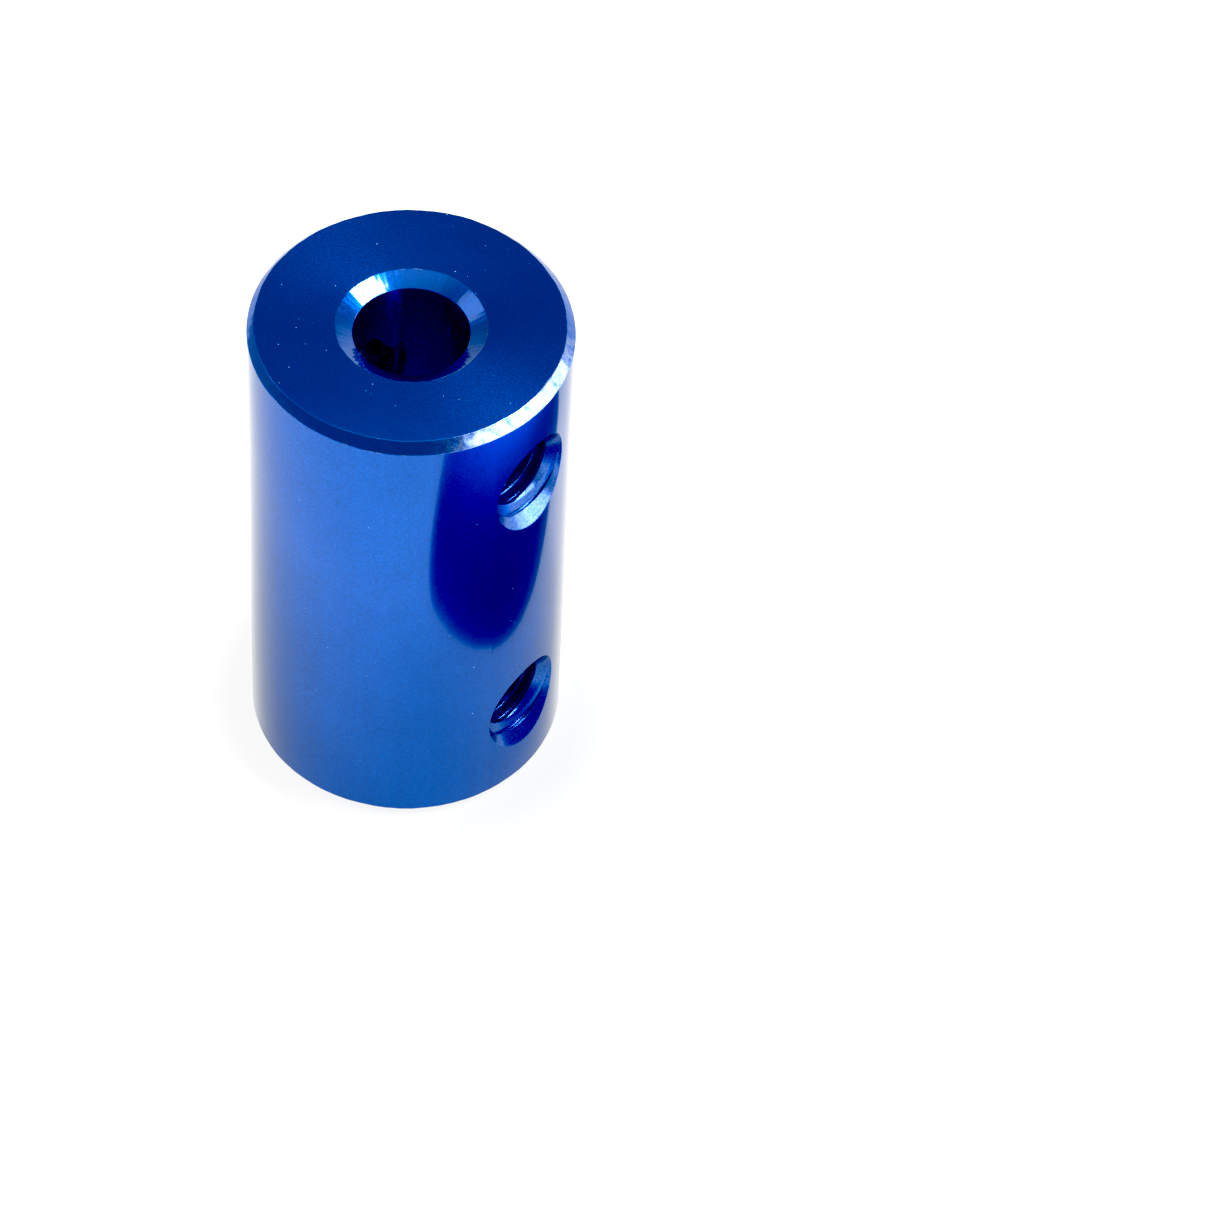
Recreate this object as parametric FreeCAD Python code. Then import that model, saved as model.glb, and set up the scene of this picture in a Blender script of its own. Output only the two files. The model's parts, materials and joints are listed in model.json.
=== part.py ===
"""Rigid shaft coupling: a bored and anodised sleeve that two set screws lock onto two shafts.

Frame: +Z along the shafts, origin on the axis at the large-bore end face, tapped holes along X.
"""

import FreeCAD
import Part

import math
import os

from FreeCAD import Vector

# Sleeve, in millimetres
BODY_DIAMETER = 14.0
BODY_LENGTH = 25.0
OUTER_EDGE_CHAMFER = 0.35

# Shaft bores: the large one is drilled from the lower end to the middle
SMALL_BORE_DIAMETER = 5.0
SMALL_BORE_COUNTERSINK_DIAMETER = 6.5
SMALL_BORE_COUNTERSINK_ANGLE = 120.0
LARGE_BORE_DIAMETER = 8.0
LARGE_BORE_DEPTH = BODY_LENGTH / 2
LARGE_BORE_EDGE_CHAMFER = 0.25
DRILL_POINT_ANGLE = 118.0

# Screw holes: one on each side of the sleeve, near both ends
SCREW_HOLE_FROM_END = 5.0
SMALL_END_HOLE_Z = BODY_LENGTH - SCREW_HOLE_FROM_END
LARGE_END_HOLE_Z = SCREW_HOLE_FROM_END
SCREW_HOLE_COUNTERSINK_DIAMETER = 5.1
SCREW_RUNNING_CLEARANCE = 0.05

# Metric thread M4 x 0.7, with 60 degree flanks
THREAD_DIAMETER = 4.0
THREAD_PITCH = 0.7
THREAD_FLANK_ANGLE = 30.0
INTERNAL_MINOR_DIAMETER = THREAD_DIAMETER - 1.0825 * THREAD_PITCH
EXTERNAL_MAJOR_DIAMETER = 3.96
EXTERNAL_MINOR_DIAMETER = 3.16

# Hexagon socket set screws with a cup point
SMALL_END_SCREW_LENGTH = 4.0
LARGE_END_SCREW_LENGTH = 2.9
SCREW_TO_SHAFT_GAP = 0.05
SOCKET_ACROSS_FLATS = 2.0
SMALL_END_SOCKET_DEPTH = 2.0
LARGE_END_SOCKET_DEPTH = 1.5
SOCKET_END_CHAMFER = 0.35
SOCKET_MOUTH_WIDTH = 0.1
SOCKET_DRILL_POINT_ANGLE = 120.0
CUP_RIM_DIAMETER = 2.0
CUP_DEPTH = 0.3

# Tools reach this far past the surfaces that they cut, and into each other
OVERRUN = 0.6
TOOL_OVERLAP = 0.02
# Hole tools start inside the shaft bore, this part of its radius off the axis
TOOL_START_IN_BORE = 0.4


def revolve(outline):
    """Solid of revolution about Z from (radius, height) corners."""
    corners = [Vector(radius, 0, height) for radius, height in outline]
    face = Part.Face(Part.makePolygon(corners + corners[:1]))
    return face.revolve(Vector(0, 0, 0), Vector(0, 0, 1), 360)


def helical_ridge(inner_radius, inner_width, outer_radius, outer_width, height):
    """Right-hand helical bar about Z with a trapezoidal section, rising from z = 0."""
    section = [
        Vector(inner_radius, 0, -inner_width / 2),
        Vector(outer_radius, 0, -outer_width / 2),
        Vector(outer_radius, 0, outer_width / 2),
        Vector(inner_radius, 0, inner_width / 2),
    ]
    profile = Part.makePolygon(section + section[:1])
    helix = Part.makeHelix(THREAD_PITCH, height, inner_radius)
    return Part.Wire(helix).makePipeShell([profile], True, True)


def flank_width(width, radial_distance):
    """Width of a thread form after moving radially, where its flanks open by this distance."""
    return width + 2 * radial_distance * math.tan(math.radians(THREAD_FLANK_ANGLE))


def along_x(shape, z):
    """Turn a tool from +Z to +X and lift it to a screw hole's height."""
    shape = shape.copy()
    shape.rotate(Vector(0, 0, 0), Vector(0, 1, 0), 90)
    shape.translate(Vector(0, 0, z))
    return shape


def along_minus_x(shape, z):
    """The same as along_x, but on the sleeve's -X side."""
    shape = along_x(shape, z)
    shape.rotate(Vector(0, 0, 0), Vector(0, 0, 1), 180)
    return shape


def countersink():
    """90 degree countersink for a screw hole, as wide as stated at the sleeve's crown."""
    crown = BODY_DIAMETER / 2
    top = crown + OVERRUN
    radius = SCREW_HOLE_COUNTERSINK_DIAMETER / 2 + OVERRUN
    return Part.makeCone(0, radius, radius, Vector(0, 0, top - radius))


def tapped_hole(start):
    """Tools for a threaded hole from this distance off the sleeve's axis to past its crown."""
    length = BODY_DIAMETER / 2 + OVERRUN - start
    minor_radius = INTERNAL_MINOR_DIAMETER / 2
    major_radius = THREAD_DIAMETER / 2
    ridge_foot = minor_radius - TOOL_OVERLAP
    drill = Part.makeCylinder(minor_radius, length, Vector(0, 0, start))
    ridge = helical_ridge(
        ridge_foot,
        flank_width(THREAD_PITCH / 8, major_radius - ridge_foot),
        major_radius,
        THREAD_PITCH / 8,
        length,
    )
    ridge.translate(Vector(0, 0, start))
    return [drill, ridge, countersink()]


def screw_hole(start):
    """Tools for a hole that a set screw slides in, plain in place of its thread."""
    length = BODY_DIAMETER / 2 + OVERRUN - start
    radius = EXTERNAL_MAJOR_DIAMETER / 2 + SCREW_RUNNING_CLEARANCE
    return [Part.makeCylinder(radius, length, Vector(0, 0, start)), countersink()]


def coupling_body():
    """The sleeve with its stepped shaft bore, two open tapped holes and two screw holes."""
    body_radius = BODY_DIAMETER / 2
    small_radius = SMALL_BORE_DIAMETER / 2
    large_radius = LARGE_BORE_DIAMETER / 2
    countersink_radius = SMALL_BORE_COUNTERSINK_DIAMETER / 2
    countersink_half_angle = math.radians(SMALL_BORE_COUNTERSINK_ANGLE / 2)
    countersink_depth = (countersink_radius - small_radius) / math.tan(countersink_half_angle)
    drill_half_angle = math.radians(DRILL_POINT_ANGLE / 2)
    shoulder_height = (large_radius - small_radius) / math.tan(drill_half_angle)
    body = revolve(
        [
            (large_radius + LARGE_BORE_EDGE_CHAMFER, 0),
            (body_radius - OUTER_EDGE_CHAMFER, 0),
            (body_radius, OUTER_EDGE_CHAMFER),
            (body_radius, BODY_LENGTH - OUTER_EDGE_CHAMFER),
            (body_radius - OUTER_EDGE_CHAMFER, BODY_LENGTH),
            (countersink_radius, BODY_LENGTH),
            (small_radius, BODY_LENGTH - countersink_depth),
            (small_radius, LARGE_BORE_DEPTH + shoulder_height),
            (large_radius, LARGE_BORE_DEPTH),
            (large_radius, LARGE_BORE_EDGE_CHAMFER),
        ]
    )
    for bore_radius, z in (
        (small_radius, SMALL_END_HOLE_Z),
        (large_radius, LARGE_END_HOLE_Z),
    ):
        start = TOOL_START_IN_BORE * bore_radius
        for tool in tapped_hole(start):
            body = body.cut(along_x(tool, z))
        for tool in screw_hole(start):
            body = body.cut(along_minus_x(tool, z))
    return body


def hexagon_socket(length, depth):
    """Tool for the socket in a screw's end at this height, with a drill point below it."""
    across_corners = SOCKET_ACROSS_FLATS / math.cos(math.radians(30))
    corners = []
    for turn in range(6):
        angle = math.radians(60 * turn)
        x = across_corners / 2 * math.cos(angle)
        y = across_corners / 2 * math.sin(angle)
        corners.append(Vector(x, y, length - depth))
    hexagon = Part.Face(Part.makePolygon(corners + corners[:1]))
    prism = hexagon.extrude(Vector(0, 0, depth + OVERRUN))
    drill_radius = SOCKET_ACROSS_FLATS / 2
    point_height = drill_radius / math.tan(math.radians(SOCKET_DRILL_POINT_ANGLE / 2))
    bottom = Vector(0, 0, length - depth - point_height)
    point = Part.makeCone(0, drill_radius, point_height, bottom)
    mouth_radius = across_corners / 2 + SOCKET_MOUTH_WIDTH
    mouth = Part.makeCone(0, mouth_radius, mouth_radius, Vector(0, 0, length - mouth_radius))
    return prism.fuse(point).fuse(mouth)


def set_screw(length, socket_depth):
    """Cup-point set screw along +Z with its cup rim at z = 0 and its socket end at length."""
    major_radius = EXTERNAL_MAJOR_DIAMETER / 2
    minor_radius = EXTERNAL_MINOR_DIAMETER / 2
    rim_radius = CUP_RIM_DIAMETER / 2
    screw = revolve(
        [
            (0, CUP_DEPTH),
            (rim_radius, 0),
            (major_radius, major_radius - rim_radius),
            (major_radius, length - SOCKET_END_CHAMFER),
            (major_radius - SOCKET_END_CHAMFER, length),
            (0, length),
        ]
    )
    groove_top = major_radius + TOOL_OVERLAP
    groove = helical_ridge(
        minor_radius,
        THREAD_PITCH / 5,
        groove_top,
        flank_width(THREAD_PITCH / 5, groove_top - minor_radius),
        length + 2 * OVERRUN,
    )
    groove.translate(Vector(0, 0, -OVERRUN))
    return screw.cut(groove).cut(hexagon_socket(length, socket_depth))


def fitted_screw(length, socket_depth, bore_diameter, z):
    """A set screw in the -X side of the sleeve, its cup just clear of the shaft bore."""
    screw = set_screw(length, socket_depth)
    screw.translate(Vector(0, 0, bore_diameter / 2 + SCREW_TO_SHAFT_GAP))
    return along_minus_x(screw, z)


def main():
    os.makedirs("parts", exist_ok=True)
    nodes = {
        "coupling_body": coupling_body(),
        "small_bore_set_screw": fitted_screw(
            SMALL_END_SCREW_LENGTH, SMALL_END_SOCKET_DEPTH, SMALL_BORE_DIAMETER, SMALL_END_HOLE_Z
        ),
        "large_bore_set_screw": fitted_screw(
            LARGE_END_SCREW_LENGTH, LARGE_END_SOCKET_DEPTH, LARGE_BORE_DIAMETER, LARGE_END_HOLE_Z
        ),
    }
    for name, shape in nodes.items():
        solids = shape.Solids
        print(name, "valid", shape.isValid(), "solids", len(solids), "mm3", round(shape.Volume, 3))
        shape.exportStep(f"parts/{name}.step")


main()
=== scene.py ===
"""Looks for the rigid shaft coupling: anodised sleeve and two set screws, on a pale studio floor.

Lengths are in millimetres while a mesh is built and are scaled to metres when it is finished.
Materials, lights and the camera are in metres where nothing else is said.
"""

import json
import math

import bmesh
import bpy
from mathutils import Matrix, Vector


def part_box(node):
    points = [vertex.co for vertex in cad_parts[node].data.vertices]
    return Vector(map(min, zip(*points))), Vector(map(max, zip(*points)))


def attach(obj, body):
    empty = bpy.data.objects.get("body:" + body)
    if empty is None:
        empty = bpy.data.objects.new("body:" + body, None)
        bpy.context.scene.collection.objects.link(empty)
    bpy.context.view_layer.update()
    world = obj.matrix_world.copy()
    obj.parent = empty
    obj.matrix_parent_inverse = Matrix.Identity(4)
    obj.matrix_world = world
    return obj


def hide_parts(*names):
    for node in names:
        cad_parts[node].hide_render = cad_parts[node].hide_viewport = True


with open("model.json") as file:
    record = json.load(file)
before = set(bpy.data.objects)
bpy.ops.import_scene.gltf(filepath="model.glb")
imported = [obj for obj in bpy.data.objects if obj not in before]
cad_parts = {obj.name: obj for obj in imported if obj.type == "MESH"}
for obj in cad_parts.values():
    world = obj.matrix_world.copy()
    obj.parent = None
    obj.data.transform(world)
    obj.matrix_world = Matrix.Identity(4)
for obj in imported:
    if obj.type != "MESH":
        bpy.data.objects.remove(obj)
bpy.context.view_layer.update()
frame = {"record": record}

MM = 0.001
TAU = 2 * math.pi

# Sizes read from the frame, in millimetres
MOUNTS = {mount["name"]: mount for mount in frame["record"]["mounts"]}
BODY_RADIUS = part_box("coupling_body")[1].x / MM
BODY_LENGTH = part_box("coupling_body")[1].z / MM
SMALL_BORE_RADIUS = MOUNTS["small_bore"]["dims"]["r_mm"]
LARGE_BORE_RADIUS = MOUNTS["large_bore"]["dims"]["r_mm"]
THREAD_MINOR_RADIUS = MOUNTS["small_end_tapped_hole"]["dims"]["r_mm"]
SMALL_END_HOLE_Z = MOUNTS["small_end_tapped_hole"]["pos_m"][2] / MM
LARGE_END_HOLE_Z = MOUNTS["large_end_tapped_hole"]["pos_m"][2] / MM

# Sizes that the frame doesn't state
OUTER_CHAMFER = 0.35
CHAMFER_ANGLE = math.radians(45)
CHAMFER_DRIFT = 0.09
WIDEST_CHAMFER = math.radians(-20)
EDGE_ROUNDING = 0.06
SMALL_BORE_COUNTERSINK_WIDTH = 0.75
SMALL_BORE_COUNTERSINK_HALF_ANGLE = math.radians(60)
LARGE_BORE_CHAMFER = 0.25
LARGE_BORE_DEPTH = BODY_LENGTH / 2
DRILL_POINT_HALF_ANGLE = math.radians(59)
HOLE_COUNTERSINK_RADIUS = 2.53
THREAD_PITCH = 0.7
THREAD_MAJOR_RADIUS = 2.0
TAP_OVERSIZE = 0.07
THREAD_ROOT_LAND = 1 / 8
THREAD_CREST_LAND = 1 / 4
THREAD_CLEARANCE = 0.02
OPEN_HOLE_TAP_TURN = math.radians(-47)
TAP_START_TURNS = 3
SCREW_CUP_RADIUS = 1.0
SCREW_CUP_DEPTH = 0.3
SCREW_END_CHAMFER = 0.35
SMALL_END_SOCKET_DEPTH = 2.0
LARGE_END_SOCKET_DEPTH = 1.5
SOCKET_ACROSS_FLATS = 2.0
SOCKET_MOUTH_WIDTH = 0.1
OVERRUN = 0.6

# Mesh fineness
BODY_SEGMENTS = 320
SCREW_SEGMENTS = 144
FLAG_SEGMENTS = 128
DRILL_SEGMENTS = 48
MOUTH_SEGMENTS = 96
THREAD_COLUMNS = 96
ROWS_PER_TURN = 16
ROUNDING_STEPS = 4
SMOOTH_BELOW = math.radians(24)


# ---------------------------------------------------------------- meshes

def new_object(name, bm):
    """A scene object from a bmesh whose faces are turned outwards."""
    bmesh.ops.recalc_face_normals(bm, faces=bm.faces)
    mesh = bpy.data.meshes.new(name)
    bm.to_mesh(mesh)
    bm.free()
    obj = bpy.data.objects.new(name, mesh)
    bpy.context.scene.collection.objects.link(obj)
    return obj


def rounded(corners, radius):
    """Outline points (radius, height, corner number) with each corner as an arc.

    An arc takes up no more than a third of the sides that meet at its corner.
    """
    points = []
    for number, (r, z) in enumerate(corners):
        here = Vector((r, z))
        before = Vector(corners[number - 1]) - here
        after = Vector(corners[(number + 1) % len(corners)]) - here
        turn = before.angle(after)
        setback = min(radius / math.tan(turn / 2), before.length / 3, after.length / 3)
        start = here + before.normalized() * setback
        end = here + after.normalized() * setback
        for step in range(ROUNDING_STEPS + 1):
            share = step / ROUNDING_STEPS
            point = (1 - share) ** 2 * start + 2 * share * (1 - share) * here + share ** 2 * end
            points.append((point.x, point.y, number))
    return points


def sharp(corners):
    """Outline points of the corners as they are."""
    return [(r, z, number) for number, (r, z) in enumerate(corners)]


def lathe(name, outline, segments, wobble=None):
    """Closed turned solid from outline points. Points on the axis become single vertices.

    wobble(corner number, angle) gives a point's shift in (radius, height).
    """
    bm = bmesh.new()
    rings = []
    for r, z, number in outline:
        if r == 0:
            rings.append([bm.verts.new((0, 0, z))] * segments)
            continue
        ring = []
        for step in range(segments):
            angle = TAU * step / segments
            shift_r, shift_z = wobble(number, angle) if wobble else (0, 0)
            radius = r + shift_r
            ring.append(bm.verts.new((radius * math.cos(angle), radius * math.sin(angle), z + shift_z)))
        rings.append(ring)
    for index, ring in enumerate(rings):
        following = rings[(index + 1) % len(rings)]
        for step in range(segments):
            turn = (step + 1) % segments
            corners = [ring[step], ring[turn], following[turn], following[step]]
            unique = list(dict.fromkeys(corners))
            if len(unique) > 2:
                bm.faces.new(unique)
    return new_object(name, bm)


def threaded_rod(name, radius_at, start, end):
    """Closed rod along Z whose rows follow a right-hand helix.

    radius_at(phase, height) gives its radius, where phase runs from 0 to 1 over a pitch. The rod
    starts a whole number of pitches from height 0, so that a screw's thread lies in its hole's.
    """
    bm = bmesh.new()
    start = math.floor(start / THREAD_PITCH) * THREAD_PITCH
    rows = math.ceil((end - start) / THREAD_PITCH * ROWS_PER_TURN)
    grid = []
    for column in range(THREAD_COLUMNS):
        turned = column / THREAD_COLUMNS
        angle = TAU * turned
        line = []
        for row in range(rows + 1):
            height = start + THREAD_PITCH * (turned + row / ROWS_PER_TURN)
            radius = radius_at((row / ROWS_PER_TURN) % 1.0, height)
            line.append(bm.verts.new((radius * math.cos(angle), radius * math.sin(angle), height)))
        grid.append(line)
    for column in range(THREAD_COLUMNS - 1):
        left, right = grid[column], grid[column + 1]
        for row in range(rows):
            bm.faces.new((left[row], right[row], right[row + 1], left[row + 1]))
    left, right = grid[-1], grid[0]
    for row in range(rows - ROWS_PER_TURN):
        up = row + ROWS_PER_TURN
        bm.faces.new((left[row], right[up], right[up + 1], left[row + 1]))
    foot = [line[0] for line in grid] + [grid[0][row] for row in range(ROWS_PER_TURN, 0, -1)]
    head = [line[rows] for line in grid]
    head += [grid[-1][row] for row in range(rows - 1, rows - ROWS_PER_TURN - 1, -1)]
    for loop in (foot, head):
        height = (loop[0].co.z + loop[THREAD_COLUMNS - 1].co.z) / 2
        centre = bm.verts.new((0, 0, height))
        for step, corner in enumerate(loop):
            bm.faces.new((centre, corner, loop[(step + 1) % len(loop)]))
    return new_object(name, bm)


def boolean(target, tool, operation):
    """Apply a boolean to target's mesh and remove the tool."""
    modifier = target.modifiers.new("cut", "BOOLEAN")
    modifier.operation = operation
    modifier.object = tool
    modifier.solver = "MANIFOLD"
    bpy.context.view_layer.update()
    graph = bpy.context.evaluated_depsgraph_get()
    made = bpy.data.meshes.new_from_object(target.evaluated_get(graph), depsgraph=graph)
    target.modifiers.clear()
    target.data = made
    bpy.data.objects.remove(tool)


def point_along_x(obj, height, side):
    """Turn a tool from +Z to +X or -X (side 1 or -1) and lift it to a hole's height."""
    turn = Matrix.Rotation(math.pi / 2, 4, "Y")
    if side < 0:
        turn = Matrix.Rotation(math.pi, 4, "Z") @ turn
    obj.data.transform(Matrix.Translation((0, 0, height)) @ turn)


def finish_mesh(obj, zones):
    """Scale to metres, shade smooth except at real edges, and give each face its zone's material."""
    mesh = obj.data
    mesh.materials.clear()
    for material, _ in zones:
        mesh.materials.append(material)
    for face in mesh.polygons:
        face.material_index = next(
            index for index, (_, belongs) in enumerate(zones) if belongs(face.center, face.normal)
        )
    mesh.transform(Matrix.Scale(MM, 4))
    mesh.shade_smooth()
    mesh.set_sharp_from_angle(angle=SMOOTH_BELOW)


# ---------------------------------------------------------------- sleeve

def thread_radius(phase, major_radius=THREAD_MAJOR_RADIUS):
    """Radius of an M4 tapped hole: a land at the root, 60 degree flanks and a land at the crest."""
    to_root = min(phase, 1 - phase) * 2
    flank = (to_root - THREAD_ROOT_LAND) / (1 - THREAD_ROOT_LAND - THREAD_CREST_LAND)
    inward = min(max(flank, 0.0), 1.0)
    return major_radius + (THREAD_MINOR_RADIUS - major_radius) * inward


def tapped_radius(phase, height):
    """Radius of a countersunk tapped hole at this distance from the sleeve's axis."""
    thread = thread_radius(phase, THREAD_MAJOR_RADIUS + TAP_OVERSIZE)
    return max(thread, HOLE_COUNTERSINK_RADIUS + height - BODY_RADIUS)


def screw_radius(phase, height):
    """Radius of a set screw's thread, which runs the same along its whole length."""
    return thread_radius(phase) - THREAD_CLEARANCE


# Unevenness of the hand-broken edges: waves round the sleeve, height in millimetres and the shift
# of each further corner in radians
EDGE_WAVES = (
    (5, 0.0105, 1),
    (13, 0.009, 2),
    (31, 0.006, 3),
    (73, 0.0045, 1),
)

# Corners of the sleeve's outline: the direction in (radius, height) that each one wavers in, along
# the face that it borders, and the direction that makes its chamfer wider
WAVERING = {
    1: ((1, 0), (-1, 0)),
    2: ((0, 1), (0, 1)),
    3: ((0, 1), (0, -1)),
    4: ((1, 0), (-1, 0)),
    5: ((1, 0), (0, 0)),
}


def edge_waver(corner, angle):
    """Shift in (radius, height) of a corner at this angle, from its waves and its chamfer's width."""
    if corner not in WAVERING:
        return 0, 0
    wave = sum(
        height * math.sin(count * angle + shift * corner) for count, height, shift in EDGE_WAVES
    )
    drift = CHAMFER_DRIFT * math.cos(angle - WIDEST_CHAMFER)
    waver, widening = WAVERING[corner]
    return tuple(wave * along + drift * wider for along, wider in zip(waver, widening))


def sleeve_outline():
    """Corners (radius, height) of the sleeve's half section, from the large bore's end outwards."""
    shoulder = (LARGE_BORE_RADIUS - SMALL_BORE_RADIUS) / math.tan(DRILL_POINT_HALF_ANGLE)
    countersink = SMALL_BORE_COUNTERSINK_WIDTH / math.tan(SMALL_BORE_COUNTERSINK_HALF_ANGLE)
    return [
        (LARGE_BORE_RADIUS + LARGE_BORE_CHAMFER, 0),
        (BODY_RADIUS - OUTER_CHAMFER, 0),
        (BODY_RADIUS, OUTER_CHAMFER),
        (BODY_RADIUS, BODY_LENGTH - OUTER_CHAMFER),
        (BODY_RADIUS - OUTER_CHAMFER, BODY_LENGTH),
        (SMALL_BORE_RADIUS + SMALL_BORE_COUNTERSINK_WIDTH, BODY_LENGTH),
        (SMALL_BORE_RADIUS, BODY_LENGTH - countersink),
        (SMALL_BORE_RADIUS, LARGE_BORE_DEPTH + shoulder),
        (LARGE_BORE_RADIUS, LARGE_BORE_DEPTH),
        (LARGE_BORE_RADIUS, LARGE_BORE_CHAMFER),
    ]


def sleeve():
    """The turned sleeve with its four tapped holes."""
    outline = rounded(sleeve_outline(), EDGE_ROUNDING)
    body = lathe("anodised_sleeve", outline, BODY_SEGMENTS, edge_waver)
    for height, bore_radius in (
        (SMALL_END_HOLE_Z, SMALL_BORE_RADIUS),
        (LARGE_END_HOLE_Z, LARGE_BORE_RADIUS),
    ):
        for side in (1, -1):
            start = bore_radius - TAP_START_TURNS * THREAD_PITCH
            tap = threaded_rod("tap", tapped_radius, start, BODY_RADIUS + OVERRUN)
            if side > 0:
                tap.data.transform(Matrix.Rotation(OPEN_HOLE_TAP_TURN, 4, "Z"))
            point_along_x(tap, height, side)
            boolean(body, tap, "DIFFERENCE")
    return body


# ---------------------------------------------------------------- set screws

def set_screw(name, node, socket_depth):
    """Cup-point set screw between the same ends as its CAD node."""
    low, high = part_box(node)
    tip, end = -high.x / MM, -low.x / MM
    height = (low.z + high.z) / 2 / MM
    radius = THREAD_MAJOR_RADIUS - THREAD_CLEARANCE
    clear = radius + OVERRUN
    outline = [
        (0, tip + SCREW_CUP_DEPTH),
        (SCREW_CUP_RADIUS, tip),
        (clear, tip + clear - SCREW_CUP_RADIUS),
        (clear, end - SCREW_END_CHAMFER - OVERRUN),
        (radius - SCREW_END_CHAMFER, end),
        (0, end),
    ]
    screw = lathe(name, sharp(outline), SCREW_SEGMENTS)
    rod = threaded_rod("rod", screw_radius, tip - 2 * THREAD_PITCH, end + THREAD_PITCH)
    boolean(screw, rod, "INTERSECT")
    boolean(screw, hexagon_socket(end, socket_depth), "DIFFERENCE")
    point_along_x(screw, height, -1)
    return screw


def hexagon_socket(end, depth):
    """Broached hexagon with a drilled point below it and a small conical mouth."""
    flat = SOCKET_ACROSS_FLATS / 2
    corner = flat / math.cos(math.pi / 6)
    bottom, above = end - depth, end + OVERRUN
    sides = [(0, bottom), (corner, bottom), (corner, above), (0, above)]
    prism = lathe("socket", sharp(sides), 6)
    point = bottom - flat * math.tan(math.pi / 6)
    top = above + OVERRUN
    bit = [(0, point), (flat, bottom), (flat, top), (0, top)]
    drill = lathe("drill", sharp(bit), DRILL_SEGMENTS)
    boolean(prism, drill, "UNION")
    mouth = corner + SOCKET_MOUTH_WIDTH
    rise = OVERRUN / 2
    taper = [(0, end - mouth), (mouth + rise, end + rise), (0, end + rise)]
    cone = lathe("mouth", sharp(taper), MOUTH_SEGMENTS)
    boolean(prism, cone, "UNION")
    return prism


# ---------------------------------------------------------------- materials

class Nodes:
    """Short way to add and join shader nodes."""

    def __init__(self, name):
        self.material = bpy.data.materials.new(name)
        self.material.use_nodes = True
        self.tree = self.material.node_tree
        self.tree.nodes.clear()
        self.output = self.add("ShaderNodeOutputMaterial")
        self.shader = self.add("ShaderNodeBsdfPrincipled")
        self.join(self.shader, "BSDF", self.output, "Surface")
        self.place = self.add("ShaderNodeTexCoord").outputs["Object"]

    def add(self, kind, **settings):
        node = self.tree.nodes.new(kind)
        for key, value in settings.items():
            setattr(node, key, value)
        return node

    def join(self, source, output, target, socket):
        self.tree.links.new(source.outputs[output], target.inputs[socket])

    def put(self, value, socket):
        """Link a socket, or set a plain value."""
        if isinstance(value, bpy.types.NodeSocket):
            self.tree.links.new(value, socket)
        else:
            socket.default_value = value

    def math(self, operation, first, second):
        node = self.add("ShaderNodeMath", operation=operation)
        self.put(first, node.inputs[0])
        self.put(second, node.inputs[1])
        return node.outputs[0]

    def vector(self, operation, first, second=(0, 0, 0), result="Vector"):
        """Vector arithmetic. The result is "Value" where it is a plain number."""
        node = self.add("ShaderNodeVectorMath", operation=operation)
        self.put(first, node.inputs[0])
        self.put(second, node.inputs[1])
        return node.outputs[result]

    def noise(self, scale, detail=2.0, roughness=0.5, stretch=(1, 1, 1), offset=(0, 0, 0), place=None):
        """Noise with features about 1 / scale metres wide, and longer where stretch is below 1."""
        mapping = self.add("ShaderNodeMapping")
        self.put(self.place if place is None else place, mapping.inputs["Vector"])
        mapping.inputs["Scale"].default_value = stretch
        mapping.inputs["Location"].default_value = offset
        node = self.add("ShaderNodeTexNoise")
        self.tree.links.new(mapping.outputs[0], node.inputs["Vector"])
        node.inputs["Scale"].default_value = scale
        node.inputs["Detail"].default_value = detail
        node.inputs["Roughness"].default_value = roughness
        return node.outputs["Fac"]

    def scale_range(self, value, low, high, to_low, to_high):
        node = self.add("ShaderNodeMapRange")
        for item, socket in zip((value, low, high, to_low, to_high), node.inputs):
            self.put(item, socket)
        return node.outputs["Result"]

    def mix_colour(self, factor, first, second, mode="MIX"):
        node = self.add("ShaderNodeMix", data_type="RGBA", blend_type=mode)
        self.put(factor, node.inputs["Factor"])
        self.put(first, node.inputs["A"])
        self.put(second, node.inputs["B"])
        return node.outputs["Result"]

    def bump(self, height, distance, normal=None):
        node = self.add("ShaderNodeBump")
        node.inputs["Distance"].default_value = distance
        node.inputs["Strength"].default_value = 1.0
        self.put(height, node.inputs["Height"])
        if normal is not None:
            self.put(normal, node.inputs["Normal"])
        return node.outputs["Normal"]


ANODISED_BLUE = (0.0015, 0.074, 0.39, 1)
# Pale metal of patches that are partly rubbed-off dye and partly painted highlight, mostly on the +X
# side
HIGHLIGHT_AND_WEAR_PALE = (0.40, 0.48, 0.68, 1)
DUST = (0.22, 0.36, 0.60, 1)
DUST_SPACING = 0.0003
DUST_RADIUS = 0.000028
SMALLEST_SPECK = 0.3
DUST_ROUGHNESS = 0.7
SECOND_SLEEVE_BLUE = (0.01, 0.31, 0.69, 1)
OXIDE_BLACK = (0.028, 0.027, 0.029, 1)
RUBBED_STEEL = (0.16, 0.155, 0.15, 1)
EDGE_TINT = (0.5, 0.5, 0.5, 1)
OXIDE_IOR = 1.55
MICRON = 1e-6

# Noise scales, for features about 1 / scale metres wide
FINE_LINES = 9000
BROAD_LINES = 1500
TOOL_RINGS = 9000
RING_WANDER = 400
DYE_CLOUDS = 260
DYE_FLECKS = 9500
SHEEN = 9000
GRAIN = 14000
RUBBED_PLACES = 1800
STEEL_SHEEN = 5000
STEEL_GRAIN = 9000

# Noise mostly stays between these values
NOISE_LOW = 0.3
NOISE_HIGH = 0.7

# How much lighter and darker clouds in the dye and tool marks are, and the range of a roughness
CLOUD_SPREAD = 0.08
TOOLING_SPREAD = 0.04
SMOOTHEST_SHARE = 0.8
ROUGHEST_SHARE = 1.25
BEVEL_SAMPLES = 6

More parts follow.
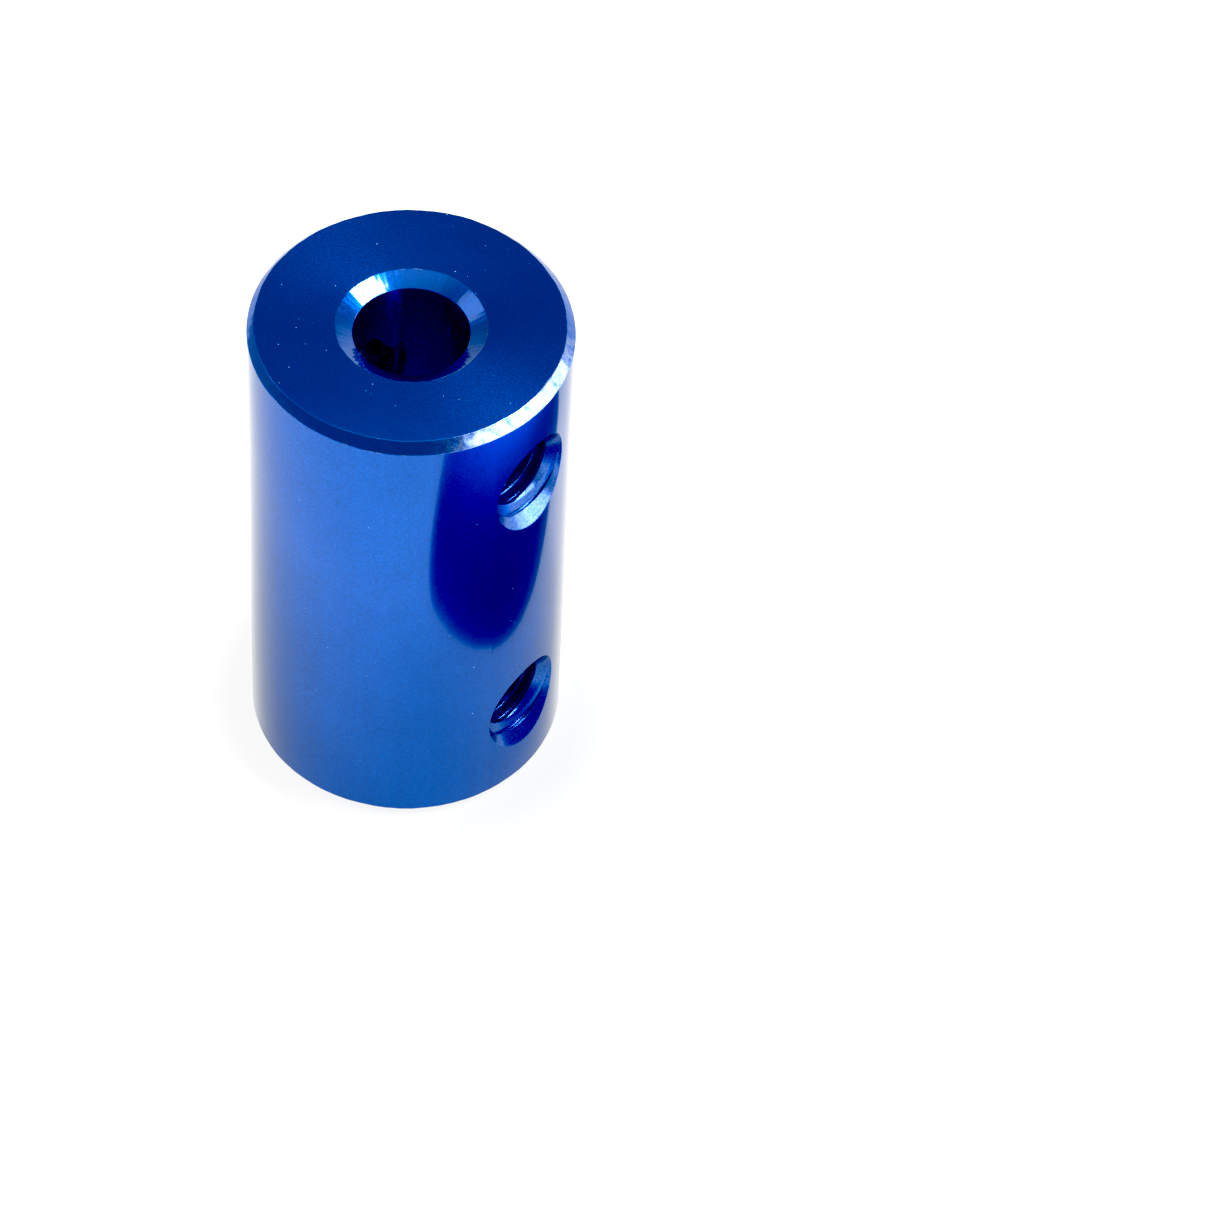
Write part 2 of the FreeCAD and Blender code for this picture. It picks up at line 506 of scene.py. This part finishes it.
# Noise values where black oxide starts to be rubbed and where it is rubbed most
OXIDE_WHOLE_BELOW = 0.56
OXIDE_RUBBED_ABOVE = 0.68
MOST_RUBBED = 0.6
STEEL_SMOOTHEST = 0.26
STEEL_ROUGHEST = 0.42
STEEL_GRAIN_HEIGHT = 0.5 * MICRON


def around_one(nodes, noise, spread):
    """The noise as a factor that goes this far below and above 1."""
    return nodes.scale_range(noise, NOISE_LOW, NOISE_HIGH, 1 - spread, 1 + spread)


def specks(nodes, spacing, radius, share):
    """1 on scattered round specks; share is the part of the cells, this far apart, that hold one."""
    cells = nodes.add("ShaderNodeTexVoronoi")
    nodes.put(nodes.place, cells.inputs["Vector"])
    cells.inputs["Scale"].default_value = 1 / spacing
    pick = nodes.add("ShaderNodeSeparateColor")
    nodes.join(cells, "Color", pick, "Color")
    chosen = nodes.math("LESS_THAN", pick.outputs[0], share)
    largest = radius / spacing
    size = nodes.scale_range(pick.outputs[1], 0, 1, SMALLEST_SPECK * largest, largest)
    near = nodes.math("LESS_THAN", cells.outputs["Distance"], size)
    return nodes.math("MULTIPLY", chosen, near)


def axial_lines(nodes):
    """Drawing lines along the bar: streaks about 0.1 mm wide among streaks about 0.7 mm wide."""
    fine = nodes.noise(FINE_LINES, detail=2, stretch=(1, 1, 0.006))
    broad = nodes.noise(BROAD_LINES, detail=3, stretch=(1, 1, 0.02), offset=(0.3, 0.1, 0))
    fine_share = nodes.math("MULTIPLY", fine, 0.35)
    broad_share = nodes.math("MULTIPLY", broad, 0.65)
    return nodes.math("ADD", fine_share, broad_share)


def turned_rings(nodes):
    """Concentric tool marks around the shaft axis, whose pattern drifts from place to place."""
    flat = nodes.vector("MULTIPLY", nodes.place, (1, 1, 0))
    wander = nodes.math("MULTIPLY", nodes.noise(RING_WANDER, detail=1), 0.4 * MM)
    across = nodes.add("ShaderNodeCombineXYZ")
    nodes.put(nodes.vector("LENGTH", flat, result="Value"), across.inputs[0])
    nodes.put(wander, across.inputs[1])
    return nodes.noise(TOOL_RINGS, detail=4, roughness=0.7, place=across.outputs[0])


def radial_direction(nodes):
    """Unit vector straight away from the shaft axis."""
    flat = nodes.vector("MULTIPLY", nodes.place, (1, 1, 0))
    return nodes.vector("NORMALIZE", flat)


# Cosines of the angle to +X, seen from the axis, where heavier wear and painted highlight start and
# where they are full
WEAR_AND_HIGHLIGHT_STARTS = 0.72
WEAR_AND_HIGHLIGHT_FULL = 0.88

# Noise values above which a patch starts to turn pale, from wear and painted highlight, and how far
# above it is fully pale
DYED_BELOW_ELSEWHERE = 0.54
DYED_BELOW_ON_PLUS_X = 0.34
DYED_TO_PALE = 0.24


def wear_and_highlight_places(nodes, amount, spread, least):
    """How pale the dye is made, partly rubbed-off wear and partly painted highlight: patches this far
    apart, fewer away from the +X side, where the highlights fall.
    """
    patches = nodes.noise(1 / spread, detail=5, roughness=0.75)
    facing = nodes.vector("DOT_PRODUCT", radial_direction(nodes), (1, 0, 0), result="Value")
    share = nodes.scale_range(facing, WEAR_AND_HIGHLIGHT_STARTS, WEAR_AND_HIGHLIGHT_FULL, least * amount, amount)
    dyed_below = nodes.scale_range(
        facing, WEAR_AND_HIGHLIGHT_STARTS, WEAR_AND_HIGHLIGHT_FULL, DYED_BELOW_ELSEWHERE, DYED_BELOW_ON_PLUS_X
    )
    pale_above = nodes.math("ADD", dyed_below, DYED_TO_PALE)
    wear_and_highlight = nodes.scale_range(patches, dyed_below, pale_above, 0, 1)
    return nodes.math("MULTIPLY", wear_and_highlight, share)


def anodised(
    name, marks=None, mark_depth=0.0, roughness=0.2, anisotropy=0.0, grain=0.25,
    pale=0.0, pale_spread=0.0004, pale_least=0.1, dust=0.0, mottle=0.03,
    coat=0.8, coat_roughness=0.08, softening=0.04,
):
    """Blue anodised aluminium: dyed metal under a clear oxide skin, with tool marks, grain and dust.

    mark_depth and grain are bump heights in microns. pale is how far the dye is made pale, partly
    rubbed off and partly painted highlight, in patches pale_spread metres apart, and pale_least its
    share away from +X. dust is the part of the cells that hold a speck, mottle how much lighter and
    darker the dye's flecks are, coat the oxide skin's weight, and softening the shaded rounding of
    edges in millimetres.
    """
    nodes = Nodes(name)
    shader = nodes.shader
    clouds = around_one(nodes, nodes.noise(DYE_CLOUDS, detail=3, roughness=0.6), CLOUD_SPREAD)
    flecks = around_one(nodes, nodes.noise(DYE_FLECKS, detail=2), mottle)
    tone = nodes.math("MULTIPLY", clouds, flecks)
    colour = ANODISED_BLUE
    if pale:
        # Pale patches: partly wear, partly painted highlight gathered on the +X side where the
        # highlights fall
        wear_and_highlight = wear_and_highlight_places(nodes, pale, pale_spread, pale_least)
        colour = nodes.mix_colour(wear_and_highlight, ANODISED_BLUE, HIGHLIGHT_AND_WEAR_PALE)
    sheen = nodes.noise(SHEEN, detail=3)
    smoothest = SMOOTHEST_SHARE * roughness
    roughest = ROUGHEST_SHARE * roughness
    rough = nodes.scale_range(sheen, NOISE_LOW, NOISE_HIGH, smoothest, roughest)
    fine_grain = nodes.noise(GRAIN, detail=3, roughness=0.65)
    edge = nodes.add("ShaderNodeBevel", samples=BEVEL_SAMPLES)
    edge.inputs["Radius"].default_value = softening * MM
    normal = nodes.bump(fine_grain, grain * MICRON, normal=edge.outputs[0])
    if marks is not None:
        tooling = marks(nodes)
        tone = nodes.math("MULTIPLY", tone, around_one(nodes, tooling, TOOLING_SPREAD))
        normal = nodes.bump(tooling, mark_depth * MICRON, normal=normal)
    colour = nodes.mix_colour(1.0, colour, tone, mode="MULTIPLY")
    metallic = 1.0
    if dust:
        spots = specks(nodes, DUST_SPACING, DUST_RADIUS, dust)
        colour = nodes.mix_colour(spots, colour, DUST)
        metallic = nodes.math("SUBTRACT", 1.0, spots)
        rough = nodes.math("MAXIMUM", rough, nodes.math("MULTIPLY", spots, DUST_ROUGHNESS))
    nodes.put(colour, shader.inputs["Base Color"])
    nodes.put(metallic, shader.inputs["Metallic"])
    nodes.put(rough, shader.inputs["Roughness"])
    nodes.put(normal, shader.inputs["Normal"])
    shader.inputs["Specular Tint"].default_value = EDGE_TINT
    shader.inputs["Coat Weight"].default_value = coat
    shader.inputs["Coat Roughness"].default_value = coat_roughness
    shader.inputs["Coat IOR"].default_value = OXIDE_IOR
    if anisotropy:
        shader.inputs["Anisotropic"].default_value = anisotropy
        nodes.put(radial_direction(nodes), shader.inputs["Tangent"])
    return nodes.material


def second_sleeve():
    """Plain rough blue metal for the sleeve that only shows as a reflection."""
    nodes = Nodes("second_sleeve")
    nodes.shader.inputs["Base Color"].default_value = SECOND_SLEEVE_BLUE
    nodes.shader.inputs["Metallic"].default_value = 1.0
    nodes.shader.inputs["Roughness"].default_value = 0.75
    return nodes.material


def black_steel():
    """Black-oxide alloy steel with a faint oil sheen, rubbed bright here and there."""
    nodes = Nodes("black_oxide_steel")
    shader = nodes.shader
    patches = nodes.noise(RUBBED_PLACES, detail=4, roughness=0.65)
    rubbed = nodes.scale_range(patches, OXIDE_WHOLE_BELOW, OXIDE_RUBBED_ABOVE, 0, MOST_RUBBED)
    colour = nodes.mix_colour(rubbed, OXIDE_BLACK, RUBBED_STEEL)
    sheen = nodes.noise(STEEL_SHEEN, detail=3)
    rough = nodes.scale_range(sheen, NOISE_LOW, NOISE_HIGH, STEEL_SMOOTHEST, STEEL_ROUGHEST)
    normal = nodes.bump(nodes.noise(STEEL_GRAIN, detail=3), STEEL_GRAIN_HEIGHT)
    nodes.put(colour, shader.inputs["Base Color"])
    nodes.put(rough, shader.inputs["Roughness"])
    nodes.put(normal, shader.inputs["Normal"])
    shader.inputs["Metallic"].default_value = 1.0
    shader.inputs["Coat Weight"].default_value = 0.25
    shader.inputs["Coat Roughness"].default_value = 0.2
    return nodes.material


# ---------------------------------------------------------------- studio

OBJECT_CENTRE = Vector((0, 0, BODY_LENGTH / 2 * MM))

# Raised in red and green, so that a deep blue keeps neither
BLACK_LEVEL = (0.06, 0.036, 0.0)

# World brightness. Heights are the sine of a direction's elevation
WALLS = 0.43
WALLS_UP_TO = 0.8
CEILING = 1.3
CEILING_FROM = 0.95
WINDOW_GLOW = 1.1
WINDOW_GLOW_UP_TO = 0.1
WINDOW_GLOW_ENDS = 0.5
WINDOW_BEARING = math.radians(65)

# Share of the window's glow on the far side, and the cosines of the angle to the window between
# which the glow grows from that share to its whole
FAR_SIDE_SHARE = 0.25
FAR_SIDE = -0.3
WINDOW_SIDE = 0.9

FLOOR_SIZE = 3.0
FLOOR_GREY = (0.1, 0.1, 0.1, 1)

# The floor's own glow nearer to the shaft axis than one distance and further from it than another. The
# lower glow at the foot is a painted contact shade
FOOT_DISTANCE = 0.008
PAINTED_FOOT_SHADE_GLOW = 0.90
OPEN_DISTANCE = 0.020
OPEN_GLOW = 1.45

# The second sleeve lies on the floor beside the object: its middle in millimetres, its axis's bearing
FLAG_CENTRE = Vector((18.0, 3.0, BODY_RADIUS))
FLAG_BEARING = math.radians(96.7)

# Soft lights: bearing and elevation in degrees, width and height in metres, radiance
SOFTBOX_DISTANCE = 0.6
SOFTBOXES = {
    "key": (37, 53, (0.28, 0.28), 22.0),
    "fill": (15, 30, (0.52, 0.24), 5.5),
    "side": (48, 16, (0.30, 0.20), 4.0),
    "rim": (-163, 40, (0.24, 0.24), 1.6),
}

# The camera: where it stands, and its turns about Z, then X, then its own line of sight
CAMERA_PLACE = (0.09984, -0.12187, 0.19685)
CAMERA_HEADING = math.radians(36)
CAMERA_TILT = math.radians(90 - 50.38)
CAMERA_ROLL = math.radians(3.466)
LENS = 161.87
SENSOR_WIDTH = 36


def softbox(name, bearing, elevation, size, radiance):
    """Area light, unseen by the camera, at this bearing and elevation in degrees from the object."""
    bearing, elevation = math.radians(bearing), math.radians(elevation)
    direction = Vector((
        math.cos(elevation) * math.cos(bearing),
        math.cos(elevation) * math.sin(bearing),
        math.sin(elevation),
    ))
    width, height = size
    data = bpy.data.lights.new(name, "AREA")
    data.shape = "RECTANGLE"
    data.size = width
    data.size_y = height
    data.energy = radiance * math.pi * width * height
    lamp = bpy.data.objects.new(name, data)
    bpy.context.scene.collection.objects.link(lamp)
    lamp.location = OBJECT_CENTRE + SOFTBOX_DISTANCE * direction
    lamp.rotation_euler = (-direction).to_track_quat("-Z", "Y").to_euler()
    lamp.visible_camera = False


def sky():
    """Studio surroundings: dim walls, a brighter ceiling, and a glow low down on the window side."""
    world = bpy.data.worlds.new("studio")
    bpy.context.scene.world = world
    world.use_nodes = True
    tree = world.node_tree

    def ramp(value, low, high, to_low, to_high):
        node = tree.nodes.new("ShaderNodeMapRange")
        tree.links.new(value, node.inputs["Value"])
        limits = {"From Min": low, "From Max": high, "To Min": to_low, "To Max": to_high}
        for name, amount in limits.items():
            node.inputs[name].default_value = amount
        return node.outputs[0]

    def combine(operation, first, second):
        node = tree.nodes.new("ShaderNodeMath")
        node.operation = operation
        tree.links.new(first, node.inputs[0])
        tree.links.new(second, node.inputs[1])
        return node.outputs[0]

    direction = tree.nodes.new("ShaderNodeTexCoord").outputs["Generated"]
    split = tree.nodes.new("ShaderNodeSeparateXYZ")
    tree.links.new(direction, split.inputs[0])
    window = tree.nodes.new("ShaderNodeVectorMath")
    window.operation = "DOT_PRODUCT"
    tree.links.new(direction, window.inputs[0])
    window.inputs[1].default_value = (math.cos(WINDOW_BEARING), math.sin(WINDOW_BEARING), 0)
    height = split.outputs["Z"]
    low_down = ramp(height, WINDOW_GLOW_UP_TO, WINDOW_GLOW_ENDS, WINDOW_GLOW, 0)
    facing = ramp(window.outputs["Value"], FAR_SIDE, WINDOW_SIDE, FAR_SIDE_SHARE, 1)
    walls_and_ceiling = ramp(height, WALLS_UP_TO, CEILING_FROM, WALLS, CEILING)
    strength = combine("ADD", combine("MULTIPLY", low_down, facing), walls_and_ceiling)
    background = tree.nodes["Background"]
    tree.links.new(strength, background.inputs["Strength"])
    background.inputs["Color"].default_value = (1, 1, 1, 1)


def light_table():
    """Plain white floor that glows, a little less around the object's foot: a painted contact shade."""
    bm = bmesh.new()
    bmesh.ops.create_grid(bm, x_segments=1, y_segments=1, size=FLOOR_SIZE)
    floor = new_object("floor", bm)
    nodes = Nodes("light_table")
    away = nodes.vector("LENGTH", nodes.place, result="Value")
    # Painted contact shade: the glow falls from the open floor towards the object's foot
    glow = nodes.scale_range(away, FOOT_DISTANCE, OPEN_DISTANCE, PAINTED_FOOT_SHADE_GLOW, OPEN_GLOW)
    nodes.shader.inputs["Base Color"].default_value = FLOOR_GREY
    nodes.shader.inputs["Roughness"].default_value = 0.9
    nodes.shader.inputs["Specular IOR Level"].default_value = 0.0
    nodes.shader.inputs["Emission Color"].default_value = (1, 1, 1, 1)
    nodes.put(glow, nodes.shader.inputs["Emission Strength"])
    floor.data.materials.append(nodes.material)


def flag():
    """A second sleeve's plain bulk, which the camera doesn't see but the object reflects."""
    corners = [(0, 0), (BODY_RADIUS - OUTER_CHAMFER, 0), (BODY_RADIUS, OUTER_CHAMFER)]
    corners += [(r, BODY_LENGTH - z) for r, z in reversed(corners)]
    block = lathe("flag", sharp(corners), FLAG_SEGMENTS)
    lie = Matrix.Rotation(math.pi / 2, 4, "Y") @ Matrix.Translation((0, 0, -BODY_LENGTH / 2))
    place = Matrix.Translation(FLAG_CENTRE) @ Matrix.Rotation(FLAG_BEARING, 4, "Z")
    block.data.transform(place @ lie)
    finish_mesh(block, [(SECOND_SLEEVE, anywhere)])
    block.visible_camera = False


def studio():
    view = bpy.context.scene.view_settings
    view.view_transform = "Standard"
    view.use_curve_mapping = True
    view.curve_mapping.black_level = BLACK_LEVEL
    sky()
    light_table()
    flag()
    for name, (bearing, elevation, size, radiance) in SOFTBOXES.items():
        softbox(name, bearing, elevation, size, radiance)


def camera():
    data = bpy.data.cameras.new("camera")
    data.sensor_width = SENSOR_WIDTH
    data.lens = LENS
    data.clip_start = 0.01
    data.clip_end = 20
    eye = bpy.data.objects.new("camera", data)
    bpy.context.scene.collection.objects.link(eye)
    eye.location = CAMERA_PLACE
    heading = Matrix.Rotation(CAMERA_HEADING, 3, "Z")
    tilt = Matrix.Rotation(CAMERA_TILT, 3, "X")
    roll = Matrix.Rotation(CAMERA_ROLL, 3, "Z")
    eye.rotation_euler = (heading @ tilt @ roll).to_euler()
    bpy.context.scene.camera = eye


# ---------------------------------------------------------------- zones

# Each function here says whether a face with this centre, in millimetres, and normal is in its zone.
# A slope is the normal's part along Z: 0 on an upright face, 1 on a level one
ZONE_MARGIN = 0.1
LEVEL_SLOPE = 0.99
LEAST_ROUNDING_SLOPE = 0.05
CHAMFER_SLOPE_TOLERANCE = 0.065
COUNTERSINK_SLOPE_TOLERANCE = 0.02
STRAIGHT_OUTWARDS = 0.998


def anywhere(centre, normal):
    return True


def on_end_face(centre, normal):
    return abs(normal.z) > LEVEL_SLOPE and not ZONE_MARGIN < centre.z < BODY_LENGTH - ZONE_MARGIN


def on_barrel(centre, normal):
    radius = math.hypot(centre.x, centre.y)
    outwards = (normal.x * centre.x + normal.y * centre.y) / radius
    return radius > BODY_RADIUS - ZONE_MARGIN / 10 and outwards > STRAIGHT_OUTWARDS


def in_screw_hole(centre, normal):
    height = min(abs(centre.z - SMALL_END_HOLE_Z), abs(centre.z - LARGE_END_HOLE_Z))
    near_hole = math.hypot(centre.y, height) < HOLE_COUNTERSINK_RADIUS + ZONE_MARGIN / 2
    return near_hole and abs(centre.x) > SMALL_BORE_RADIUS + ZONE_MARGIN


def near_an_end(centre):
    depth = OUTER_CHAMFER + ZONE_MARGIN
    return not depth < centre.z < BODY_LENGTH - depth


def on_chamfer(centre, normal):
    slope = abs(abs(normal.z) - math.sin(CHAMFER_ANGLE)) < CHAMFER_SLOPE_TOLERANCE
    outside = math.hypot(centre.x, centre.y) > BODY_RADIUS - 2 * OUTER_CHAMFER
    return near_an_end(centre) and slope and outside


def on_rounding(centre, normal):
    from_countersink = abs(abs(normal.z) - math.sin(SMALL_BORE_COUNTERSINK_HALF_ANGLE))
    in_countersink = from_countersink < COUNTERSINK_SLOPE_TOLERANCE
    return near_an_end(centre) and abs(normal.z) > LEAST_ROUNDING_SLOPE and not in_countersink


# ---------------------------------------------------------------- assembly

BARREL = anodised(
    "anodised_barrel", axial_lines, mark_depth=1.2, roughness=0.17, dust=0.1, mottle=0.2
)
FACE = anodised(
    "anodised_face", turned_rings, mark_depth=1.5, roughness=0.3, anisotropy=0.6, grain=0.12, dust=0.2
)
# The next three carry pale patches that are partly wear and partly painted highlight, most on the +X
# side
EDGE = anodised(
    "anodised_edge", turned_rings, mark_depth=1.0, roughness=0.2, grain=0.5,
    pale=0.5, pale_least=0.15, coat=1.0,
)
EDGE_WEAR_AND_HIGHLIGHT = anodised(
    "anodised_edge_wear_and_highlight", roughness=0.3, pale=0.9, pale_spread=0.0006, pale_least=1.0
)
THREAD = anodised(
    "anodised_thread", roughness=0.26, grain=0.1, pale=0.2, pale_spread=0.0001,
    coat=0.45, coat_roughness=0.16, softening=0.1,
)
INSIDE = anodised("anodised_inside", grain=0.12, roughness=0.24, coat=1.0)
SECOND_SLEEVE = second_sleeve()
STEEL = black_steel()

SLEEVE_ZONES = [
    (BARREL, on_barrel),
    (THREAD, in_screw_hole),
    (FACE, on_end_face),
    (EDGE, on_chamfer),
    (EDGE_WEAR_AND_HIGHLIGHT, on_rounding),
    (INSIDE, anywhere),
]

# Piece, CAD node, body and socket depth of each set screw
SCREWS = (
    ("small_bore_cup_point_screw", "small_bore_set_screw", "small_bore_screw", SMALL_END_SOCKET_DEPTH),
    ("large_bore_cup_point_screw", "large_bore_set_screw", "large_bore_screw", LARGE_END_SOCKET_DEPTH),
)

body = sleeve()
finish_mesh(body, SLEEVE_ZONES)
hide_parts("coupling_body")
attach(body, "sleeve")

for name, node, rides_on, socket_depth in SCREWS:
    screw = set_screw(name, node, socket_depth)
    finish_mesh(screw, [(STEEL, anywhere)])
    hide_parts(node)
    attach(screw, rides_on)

studio()
camera()
